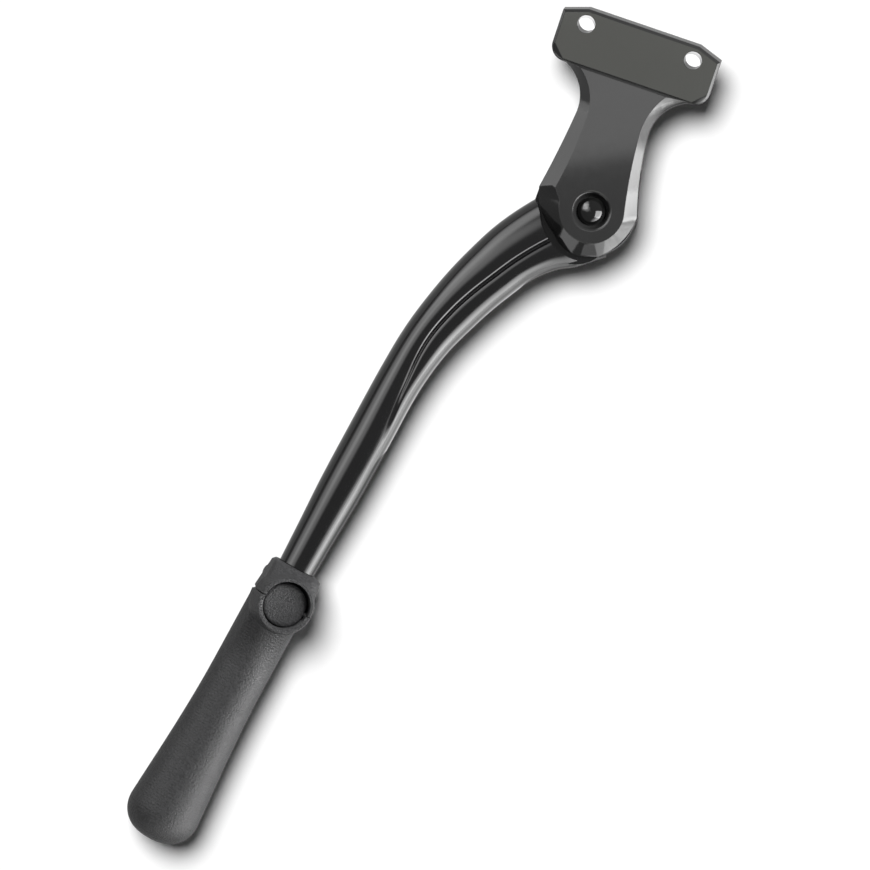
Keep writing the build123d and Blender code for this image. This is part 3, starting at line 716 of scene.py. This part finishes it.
class KICKSTAND_OT_leg(bpy.types.Operator):
    """Forged leg in gloss black"""

    bl_idname = "kickstand.leg"
    bl_label = "Leg"

    def execute(self, context):
        sizes = leg_settings()
        values = finish_settings()
        mesh = bpy.data.meshes.new("leg_forging")
        form = self.forge(sizes)
        form.to_mesh(mesh)
        form.free()
        piece = bpy.data.objects.new("leg_forging", mesh)
        bpy.context.collection.objects.link(piece)
        self.machine(piece, sizes)
        round_off(piece.data, LEG_CREASE)
        finish = lacquer("leg_lacquer", values.leg_colour, roughness=0.16, peel=0.02, edge=values.edge_round)
        carry(piece, "leg", finish)
        return {"FINISHED"}

    def forge(self, sizes):
        """Rings of the two-strand section up the straight rod and round the bend to the pivot."""
        straight = sizes.straight_length
        side = TO_VIEWER.cross(LEG_DOWN)
        bend = COLLAR_TOP - LEG_DOWN * straight
        to_bend = bend - PIVOT
        radius = -to_bend.length_squared / (2.0 * to_bend.dot(side))
        middle = bend + side * radius
        sweep = (bend - middle).angle(PIVOT - middle)
        arc = sweep * radius
        stations = []
        for way, width, groove in ROD_SECTIONS:
            base = straight if way < 0.0 else 0.0
            stations.append((base + way * MM, round_section(width, groove)))
        stations.append((straight - BEND_START, strand_section(*START_SECTION)))
        for share, section in BEND_SECTIONS:
            stations.append((straight + arc * share, strand_section(*section)))
        places = [place for place, section in stations]
        points = list(zip(*[section for place, section in stations]))
        form = bmesh.new()
        ring = bmesh.ops.create_circle(form, segments=len(points), radius=sizes.rod_radius)["verts"]
        edges = list(form.edges)
        lip_edges = []
        for step in range(LEG_RINGS + 1):
            rise = (straight + arc) * step / LEG_RINGS
            if step:
                lower = ring
                grown = bmesh.ops.extrude_edge_only(form, edges=edges)["geom"]
                fresh = {item for item in grown if isinstance(item, bmesh.types.BMVert)}
                ring = [
                    next(edge.other_vert(vert) for edge in vert.link_edges if edge.other_vert(vert) in fresh)
                    for vert in lower
                ]
                edges = [item for item in grown if isinstance(item, bmesh.types.BMEdge)
                         and all(vert in fresh for vert in item.verts)]
                lip_edges += [form.edges.get((lower[index], ring[index])) for index in LIPS]
            turn = max(0.0, rise - straight) / radius
            out = Matrix.Rotation(-turn, 3, TO_VIEWER) @ -side
            centre = middle + out * radius if turn else COLLAR_TOP - LEG_DOWN * rise
            for vert, path in zip(ring, points):
                point = between(places, path, rise)
                vert.co = centre + out * (point.x * MM) + TO_VIEWER * (point.y * MM)
        bmesh.ops.holes_fill(form, edges=form.edges)
        bmesh.ops.recalc_face_normals(form, faces=form.faces)
        bmesh.ops.bevel(
            form, geom=lip_edges, offset=sizes.lip_round, segments=3, profile=0.5, affect="EDGES", material=-1
        )
        return form

    def machine(self, piece, sizes):
        """Room for the ears, the tongue, the round rod with its notches, and the bores."""
        stop = math.degrees(sizes.stop_angle)
        flank = sizes.tongue_thick / 2.0

        def from_stop(outline):
            return [polar(stop + angle, radius) for angle, radius in outline]

        def bore(radius, start, end, way, segments=72):
            carve(piece, drum(radius, start, end, way, segments), "DIFFERENCE")

        ear_room = [*from_stop(EAR_ROOM_FROM_STOP), polar(*EAR_ROOM_TOP)]
        for low, high in ((flank - 3.0 * FLANK_STEP, CUT_REACH), (-CUT_REACH, 3.0 * FLANK_STEP - flank)):
            bore(sizes.shoulder_radius, PIVOT + TO_VIEWER * low, PIVOT + TO_VIEWER * high, TO_VIEWER, 128)
            carve(piece, prism(ear_room, low, high), "DIFFERENCE")
        stop_room = [*from_stop(STOP_ROOM_FROM_STOP), *[polar(*corner) for corner in STOP_ROOM_TOP]]
        carve(piece, prism(stop_room, -CUT_REACH, CUT_REACH), "DIFFERENCE")
        side = TO_VIEWER * flank
        carve(piece, drum(sizes.tongue_radius, PIVOT - side, PIVOT + side, TO_VIEWER, 128), "UNION")
        shoulder = [polar(*SHOULDER_INSIDE), *from_stop(SHOULDER_FROM_STOP)]
        carve(piece, prism(shoulder, FLANK_STEP - flank, flank - FLANK_STEP), "UNION")
        # The toe's outline falls off to the round of the tongue
        toe = [polar(264.4 + 7.52 * s, 20.5 - 0.62 * s - 0.068 * s * s) for s in range(6)]
        toe = [polar(*TOE_INSIDE), *toe]
        carve(piece, prism(toe, 2.0 * FLANK_STEP - flank, flank - 2.0 * FLANK_STEP), "UNION")
        self.add_rod(piece, sizes)
        reach = TO_VIEWER * CUT_REACH
        bore(sizes.sleeve_bore, PIVOT - reach, PIVOT + reach, TO_VIEWER)
        far_rim = sizes.tongue_radius + BORE_PAST_RIM
        bore(sizes.plunger_bore, PIVOT - BORE_WAY * far_rim, PIVOT + BORE_WAY * sizes.plunger_depth, BORE_WAY)

    def add_rod(self, piece, sizes):
        """The round rod inside the foot, with its chamfered end and index notches."""
        start, end = COLLAR_TOP - LEG_DOWN * ROD_OVERLAP, COLLAR_TOP + LEG_DOWN * sizes.rod_in_foot
        rod = drum(sizes.rod_radius, start, end, LEG_DOWN)
        near_end = sizes.rod_in_foot - 0.1 * MM
        tip = [
            edge for edge in rod.edges
            if all((vert.co - COLLAR_TOP).dot(LEG_DOWN) > near_end for vert in edge.verts)
        ]
        bmesh.ops.bevel(
            rod, geom=tip, offset=sizes.rod_chamfer, segments=1, profile=0.5, affect="EDGES", material=-1
        )
        carve(piece, rod, "UNION")
        notches = bmesh.new()
        width = 2.0 * sizes.rod_radius + NOTCH_CUT
        shape = Matrix.Diagonal((width, sizes.notch_height, NOTCH_CUT, 1.0))
        for index in range(sizes.notch_count):
            rise = sizes.notch_first - sizes.notch_pitch * index
            place = Matrix.Translation((0.0, rise, sizes.notch_floor + NOTCH_CUT / 2.0))
            bmesh.ops.create_cube(notches, size=1.0, matrix=BUTTON_FRONT @ place @ shape)
        carve(piece, notches, "DIFFERENCE")


class KICKSTAND_OT_pivot(bpy.types.Operator):
    """Pivot pin with its polished dome, and the hardware round it"""

    bl_idname = "kickstand.pivot"
    bl_label = "Pivot"

    def execute(self, context):
        values = finish_settings()
        finish = lacquer("pin_black", values.pin_colour, roughness=0.06, peel=0.0, edge=values.edge_round)
        skin("pivot_pin", finish)
        steel = ground_steel("ground_steel", values.steel_colour, roughness=0.3, scale=500.0)
        for node in ("cam_sleeve", "pivot_washer", "detent_plunger", "button_pin"):
            paint(node, steel)
        oiled = [channel * 0.8 for channel in values.steel_colour]
        spring_steel = ground_steel("spring_steel", oiled, roughness=0.36, scale=900.0)
        for node in ("retaining_ring", "detent_spring", "button_spring"):
            paint(node, spring_steel)
        bearing = bearing_plastic("bearing_plastic", values.washer_colour)
        for node in ("thrust_washer_front", "thrust_washer_rear"):
            paint(node, bearing)
        return {"FINISHED"}


class KICKSTAND_OT_foot(bpy.types.Operator):
    """Foot shell, collar, button and the collar's screws"""

    bl_idname = "kickstand.foot"
    bl_label = "Foot"

    def execute(self, context):
        values = finish_settings()
        mould = (values.foot_colour, values.line_pitch, values.edge_round)
        skin("foot_shell", moulded("foot_plastic", *mould))
        collar = copy_of("foot_collar")
        self.raise_rim(collar)
        round_off(collar.data, CREASE)
        carry(collar, "foot_collar", moulded("collar_plastic", *mould))
        skin("release_button", moulded("button_plastic", *mould))
        paint("collar_screws", ground_steel("screw_black", (0.06, 0.06, 0.063), roughness=0.4, scale=700.0))
        return {"FINISHED"}

    def raise_rim(self, collar):
        """Upper half of the round rim that stands proud of the button."""
        sizes = rim_settings()
        base, height = sizes.rim_base, sizes.rim_height
        rim = bmesh.new()
        bmesh.ops.create_cone(
            rim, cap_ends=True, segments=96, depth=height - base,
            radius1=sizes.rim_radius + (height - base) * math.tan(sizes.rim_taper), radius2=sizes.rim_radius,
            matrix=BUTTON_FRONT @ Matrix.Translation((0.0, 0.0, (base + height) / 2.0)),
        )
        cut = bmesh.ops.bisect_plane(
            rim, geom=[*rim.verts, *rim.edges, *rim.faces], clear_inner=True,
            plane_co=BUTTON_FRONT @ Vector((0.0, sizes.rim_gap, 0.0)), plane_no=-LEG_DOWN,
        )["geom_cut"]
        bmesh.ops.holes_fill(rim, edges=[item for item in cut if isinstance(item, bmesh.types.BMEdge)])
        bmesh.ops.recalc_face_normals(rim, faces=rim.faces)
        carve(collar, rim, "UNION")
        start = BUTTON_FRONT @ Vector((sizes.rim_shift, sizes.rim_shift, base + OPENING_FLOOR))
        end = start + BUTTON_OUT * height
        carve(collar, drum(sizes.rim_opening, start, end, BUTTON_OUT, 96), "DIFFERENCE")


class KICKSTAND_OT_stage(bpy.types.Operator):
    """White floor behind the kickstand, soft studio light and the camera"""

    bl_idname = "kickstand.stage"
    bl_label = "Stage"

    def execute(self, context):
        values = stage_settings()
        scene = context.scene
        scene.view_settings.view_transform = "Standard"
        back = Vector((
            math.sin(values.azimuth) * math.cos(values.elevation),
            -math.cos(values.azimuth) * math.cos(values.elevation),
            math.sin(values.elevation),
        ))
        top = -math.sin(values.roll) * ALONG + math.cos(values.roll) * UPWARD
        right = top.cross(back).normalized()
        up = back.cross(right)
        turn = Matrix((right, up, back)).transposed().to_4x4()
        data = bpy.data.cameras.new("camera")
        data.sensor_width = SENSOR
        data.lens = SENSOR * values.distance / values.view_width
        data.clip_start, data.clip_end = 0.01, 50.0
        camera = bpy.data.objects.new("camera", data)
        camera.matrix_world = Matrix.Translation(MIDDLE + back * values.distance) @ turn
        scene.collection.objects.link(camera)
        scene.camera = camera
        floor = self.make_floor(scene, values.sheet_depth)
        floor_alone = self.group("floor_alone", "INCLUDE", floor)
        not_floor = self.group("not_floor", "EXCLUDE", floor)
        head_alone = self.group("head_alone", "INCLUDE", bpy.data.objects["mounting_head_skin"])
        pin_alone = self.group("pin_alone", "INCLUDE", bpy.data.objects["pivot_pin_skin"])
        foot_names = ("foot_shell_skin", "foot_collar_skin", "release_button_skin")
        foot_alone = self.group("foot_alone", "INCLUDE", *[bpy.data.objects[name] for name in foot_names])
        leg_alone = self.group("leg_alone", "INCLUDE", bpy.data.objects["leg_forging"])

        def seen(x, y, z):
            return (x * right + y * up + z * back).normalized()

        way = seen(*SUN_WAY)
        floor_key = self.make_lamp("SUN", "floor_key", values.floor_level, MIDDLE + way, way, up)
        floor_key.data.angle = SUN_SPREAD
        self.light_only(floor_key, floor_alone)
        for place in BOLT_HOLES:
            place = place + back * SPOT_DISTANCE
            spot = self.make_lamp("SPOT", "hole_spot", values.hole_power, place, back, up)
            spot.data.spot_size = SPOT_CONE
            spot.data.spot_blend = 0.0
            spot.data.shadow_soft_size = SPOT_SIZE
            self.light_only(spot, floor_alone)
        for name, power, (toward, size, distance) in (
            ("key", values.key_power, KEY_LAMP),
            ("side", values.side_power, SIDE_LAMP),
            ("rear", values.rear_power, REAR_LAMP),
        ):
            way = seen(*toward)
            lamp = self.make_panel(name, power, size, size, MIDDLE + distance * way, way, up)
            self.light_only(lamp, not_floor)
            lamp.visible_glossy = False
        way = seen(*NECK_WAY)
        tilt = Matrix.Rotation(NECK_TILT, 3, back) @ up
        place = PIVOT + UPWARD * NECK_PLACE + way * NECK_DISTANCE + tilt * NECK_RISE
        power = math.pi * NECK_WIDTH * NECK_HEIGHT * values.neck_level
        neck = self.make_panel("neck_panel", power, NECK_WIDTH, NECK_HEIGHT, place, way, tilt)
        self.mirror_only(neck, head_alone)
        # It lies on the sheet and faces the viewer
        way = -TO_VIEWER
        place = MIDDLE + KEEL_RIGHT * right + KEEL_ABOVE * up
        on_sheet = PIVOT + way * (values.sheet_depth - KEEL_LIFT)
        place += back * ((on_sheet - place).dot(way) / back.dot(way))
        power = math.pi * KEEL_WIDTH * KEEL_HEIGHT * values.keel_level
        keel = self.make_panel("keel_panel", power, KEEL_WIDTH, KEEL_HEIGHT, place, way, seen(*KEEL_TOP))
        self.mirror_only(keel, leg_alone)
        for panels, receivers, aim in (
            (HEAD_PANELS, head_alone, HEAD_AIM),
            (PIN_PANELS, pin_alone, PIVOT),
            (FOOT_PANELS, foot_alone, FOOT_AIM),
        ):
            for toward, size, level, tint in panels:
                way = seen(*toward)
                power = math.pi * size**2 * level
                lamp = self.make_panel("mirror_panel", power, size, size, aim + way, way, up)
                lamp.data.color = tint
                self.mirror_only(lamp, receivers)
        self.make_world(scene, values, right, up, back)
        return {"FINISHED"}

    def group(self, name, state, *things):
        """A collection that only names what a lamp lights or leaves out."""
        collection = bpy.data.collections.new(name)
        for thing in things:
            collection.objects.link(thing)
        for member in collection.collection_objects:
            member.light_linking.link_state = state
        return collection

    def light_only(self, lamp, collection):
        """Leaves a lamp to what its collection names."""
        lamp.light_linking.receiver_collection = collection

    def mirror_only(self, lamp, collection):
        """Leaves a lamp to the reflections of some pieces."""
        self.light_only(lamp, collection)
        lamp.visible_diffuse = False
        lamp.visible_camera = False

    def make_lamp(self, kind, name, power, place, way, up):
        """A lamp at a place, facing back along a way."""
        data = bpy.data.lights.new(name, kind)
        data.energy = power
        lamp = bpy.data.objects.new(name, data)
        across = up.cross(way).normalized()
        turn = Matrix((across, way.cross(across), way)).transposed().to_4x4()
        lamp.matrix_world = Matrix.Translation(place) @ turn
        bpy.context.scene.collection.objects.link(lamp)
        return lamp

    def make_panel(self, name, power, width, height, place, way, up):
        """A rectangular soft lamp."""
        lamp = self.make_lamp("AREA", name, power, place, way, up)
        lamp.data.shape = "RECTANGLE"
        lamp.data.size, lamp.data.size_y = width, height
        return lamp

    def make_floor(self, scene, depth):
        """A white sheet under the lying kickstand, seen from its front alone and not lighting the piece."""
        form = bmesh.new()
        bmesh.ops.create_grid(form, x_segments=1, y_segments=1, size=SHEET_SIZE)
        form.transform(FOLD @ Matrix.Translation((0.0, 0.0, -depth)))
        mesh = bpy.data.meshes.new("floor")
        form.to_mesh(mesh)
        form.free()
        floor = bpy.data.objects.new("floor", mesh)
        scene.collection.objects.link(floor)
        material = bpy.data.materials.new("pale_floor")
        material.use_nodes = True
        tree = Tree(material.node_tree)
        out = tree.add("ShaderNodeOutputMaterial")
        diffuse = tree.add("ShaderNodeBsdfDiffuse")
        diffuse.inputs["Color"].default_value = (SHEET_WHITE, SHEET_WHITE, SHEET_WHITE, 1.0)
        clear = tree.add("ShaderNodeBsdfTransparent")
        path = tree.add("ShaderNodeLightPath")
        rays = tree.math("MAXIMUM", path.outputs["Is Camera Ray"], path.outputs["Is Transmission Ray"])
        mirrored = tree.math("MULTIPLY", path.outputs["Is Glossy Ray"], SHEET_MIRRORED)
        rays = tree.math("MAXIMUM", rays, mirrored)
        rear = tree.add("ShaderNodeNewGeometry").outputs["Backfacing"]
        show = tree.math("MULTIPLY", rays, tree.math("SUBTRACT", 1.0, rear))
        mix = tree.add("ShaderNodeMixShader")
        tree.join(show, mix.inputs[0])
        tree.join(clear.outputs[0], mix.inputs[1])
        tree.join(diffuse.outputs[0], mix.inputs[2])
        tree.join(mix.outputs[0], out.inputs[0])
        mesh.materials.append(material)
        return floor

    def make_world(self, scene, values, right, up, back):
        """White for the camera, soft panels for reflections and a plain level for matt faces."""
        world = bpy.data.worlds.new("studio")
        world.use_nodes = True
        world.cycles.sampling_method = "NONE"
        scene.world = world
        tree = Tree(world.node_tree)
        out = tree.add("ShaderNodeOutputWorld")
        path = tree.add("ShaderNodeLightPath")
        way = tree.add("ShaderNodeTexCoord").outputs["Generated"]
        total = values.mirror_level
        for (x, y, z), inner, outer, strength in SOFTBOXES:
            facing = tree.add("ShaderNodeVectorMath", operation="DOT_PRODUCT")
            tree.join(way, facing.inputs[0])
            facing.inputs[1].default_value = (x * right + y * up + z * back).normalized()
            lobe = tree.add("ShaderNodeMapRange", interpolation_type="SMOOTHSTEP")
            tree.put(
                lobe, Value=facing.outputs["Value"], To_Min=0.0, To_Max=strength,
                From_Min=math.cos(math.radians(outer)), From_Max=math.cos(math.radians(inner)),
            )
            total = tree.math("ADD", lobe.outputs["Result"], total)
        room = tree.add("ShaderNodeBackground")
        room.inputs["Strength"].default_value = values.room_level
        panels = tree.add("ShaderNodeBackground")
        tree.join(total, panels.inputs["Strength"])
        white = tree.add("ShaderNodeBackground")
        white.inputs["Color"].default_value = (1.0, 1.0, 1.0, 1.0)
        mirrored = tree.add("ShaderNodeMixShader")
        tree.join(path.outputs["Is Glossy Ray"], mirrored.inputs[0])
        tree.join(room.outputs[0], mirrored.inputs[1])
        tree.join(panels.outputs[0], mirrored.inputs[2])
        mix = tree.add("ShaderNodeMixShader")
        rays = tree.math("MAXIMUM", path.outputs["Is Camera Ray"], path.outputs["Is Transmission Ray"])
        tree.join(rays, mix.inputs[0])
        tree.join(mirrored.outputs[0], mix.inputs[1])
        tree.join(white.outputs[0], mix.inputs[2])
        tree.join(mix.outputs[0], out.inputs[0])


class KICKSTAND_PT_sidebar(bpy.types.Panel):
    """Lists the pieces, their finishes and the stage"""

    bl_idname = "KICKSTAND_PT_sidebar"
    bl_label = "Kickstand"
    bl_space_type = "VIEW_3D"
    bl_region_type = "UI"
    bl_category = "Kickstand"

    def draw(self, context):
        for operator in OPERATORS:
            self.layout.operator(operator.bl_idname)
        for settings in (finish_settings(), leg_settings(), rim_settings(), stage_settings()):
            for name in settings.__annotations__:
                self.layout.prop(settings, name)


OPERATORS = (
    KICKSTAND_OT_head,
    KICKSTAND_OT_leg,
    KICKSTAND_OT_pivot,
    KICKSTAND_OT_foot,
    KICKSTAND_OT_stage,
)
CLASSES = (KickstandFinishes, KickstandLeg, KickstandRim, KickstandStage, *OPERATORS, KICKSTAND_PT_sidebar)


def register():
    for cls in CLASSES:
        bpy.utils.register_class(cls)
    bpy.types.Scene.kickstand_finishes = PointerProperty(type=KickstandFinishes)
    bpy.types.Scene.kickstand_leg = PointerProperty(type=KickstandLeg)
    bpy.types.Scene.kickstand_rim = PointerProperty(type=KickstandRim)
    bpy.types.Scene.kickstand_stage = PointerProperty(type=KickstandStage)


def unregister():
    del bpy.types.Scene.kickstand_stage
    del bpy.types.Scene.kickstand_rim
    del bpy.types.Scene.kickstand_leg
    del bpy.types.Scene.kickstand_finishes
    for cls in reversed(CLASSES):
        bpy.utils.unregister_class(cls)


def main():
    register()
    bpy.ops.kickstand.head()
    bpy.ops.kickstand.leg()
    bpy.ops.kickstand.pivot()
    bpy.ops.kickstand.foot()
    bpy.ops.kickstand.stage()
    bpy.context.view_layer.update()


if __name__ == "__main__":
    main()
